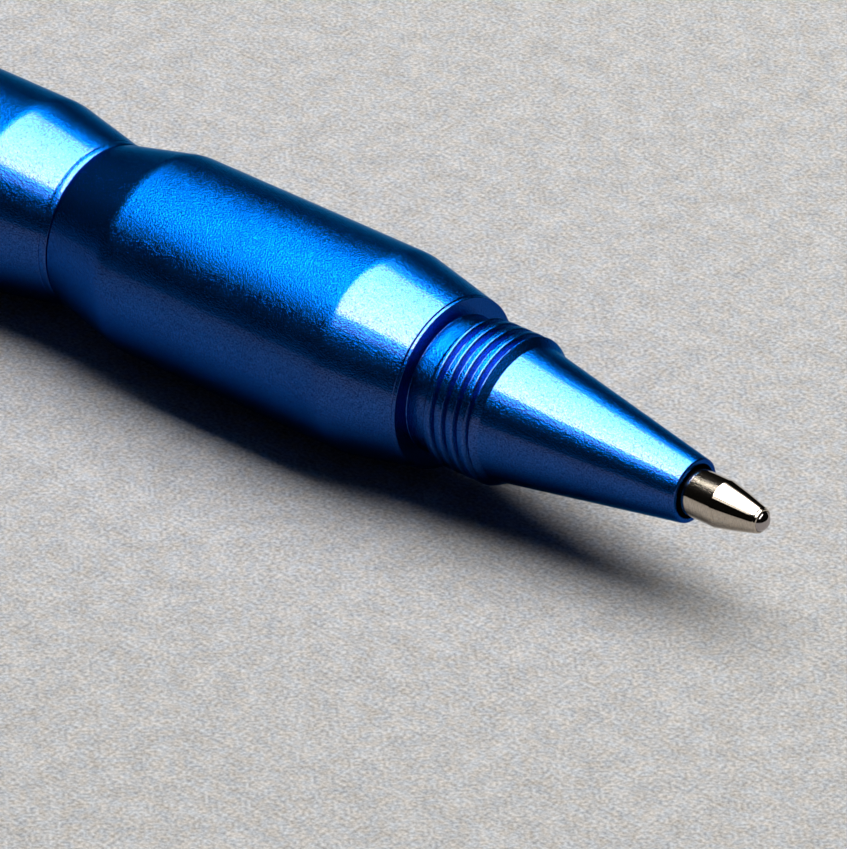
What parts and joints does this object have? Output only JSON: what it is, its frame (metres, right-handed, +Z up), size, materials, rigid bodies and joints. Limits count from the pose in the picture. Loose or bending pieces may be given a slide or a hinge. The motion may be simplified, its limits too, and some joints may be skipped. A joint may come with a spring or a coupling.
{
  "type": "ballpoint pen",
  "caption": "Turned aluminium ballpoint pen with a conical nose behind the writing point, a threaded shoulder, necked joints, a metal refill and a screw cap posted on its tail.",
  "frame": {"origin": "on the surface that the pen lies on, under the middle of its length", "axes": "+X along the pen's axis towards the writing ball, +Z up, +Y to the left of the ball's direction"},
  "size_m": [0.1316, 0.011, 0.011],
  "materials": {
    "blue_anodised": "bead-blasted and anodised blue, fine sparkling grain",
    "nickel_silver": "polished cones, finely turned cylinder",
    "carbide_ball": "mirror-polished dark carbide",
    "brass": "turned brass",
    "refill_steel": "drawn steel tube, satin",
    "spring_steel": "bright spring wire",
    "seal_rubber": "matt black nitrile",
    "plug_plastic": "moulded acetal",
    "ink_paste": "thick blue-black paste"
  },
  "bodies": {
    "front_barrel": {"front_barrel": "blue_anodised"},
    "waist_ring": {"waist_o_ring": "seal_rubber"},
    "rear_barrel": {"rear_barrel": "blue_anodised", "coupler": "brass", "tail_stud": "blue_anodised", "refill_spring": "spring_steel"},
    "cap": {"cap_shell": "blue_anodised"},
    "refill": {"writing_point": "nickel_silver", "tip_holder": "brass", "refill_tube": "refill_steel", "ink_column": "ink_paste", "refill_end_plug": "plug_plastic"},
    "ball": {"ball": "carbide_ball"}
  },
  "joints": [
    {"name": "rear_barrel_advance", "type": "slide", "parent": "front_barrel", "child": "waist_ring", "axis": [-1, 0, 0], "range_m": [0, 0.00451]},
    {"name": "rear_barrel_turn", "type": "hinge", "parent": "waist_ring", "child": "rear_barrel", "pos_m": [0.02167, 0, 0.00549], "axis": [-1, 0, 0], "range_deg": [0, 2160]},
    {"name": "cap_off", "type": "slide", "parent": "rear_barrel", "child": "cap", "axis": [-1, 0, 0], "range_m": [0, 0.012]},
    {"name": "refill_press", "type": "slide", "parent": "front_barrel", "child": "refill", "axis": [-1, 0, 0], "range_m": [0, 0.0008], "stiffness_N_per_m": 340, "deforming": ["refill_spring"]},
    {"name": "ball_roll", "type": "hinge", "parent": "refill", "child": "ball", "pos_m": [0.0652, 0, 0.00549], "axis": [0, 1, 0], "continuous": true}
  ],
  "couplings": [
    {"joint": "rear_barrel_advance", "follows": "rear_barrel_turn", "m_per_rad": 0.00011937}
  ]
}
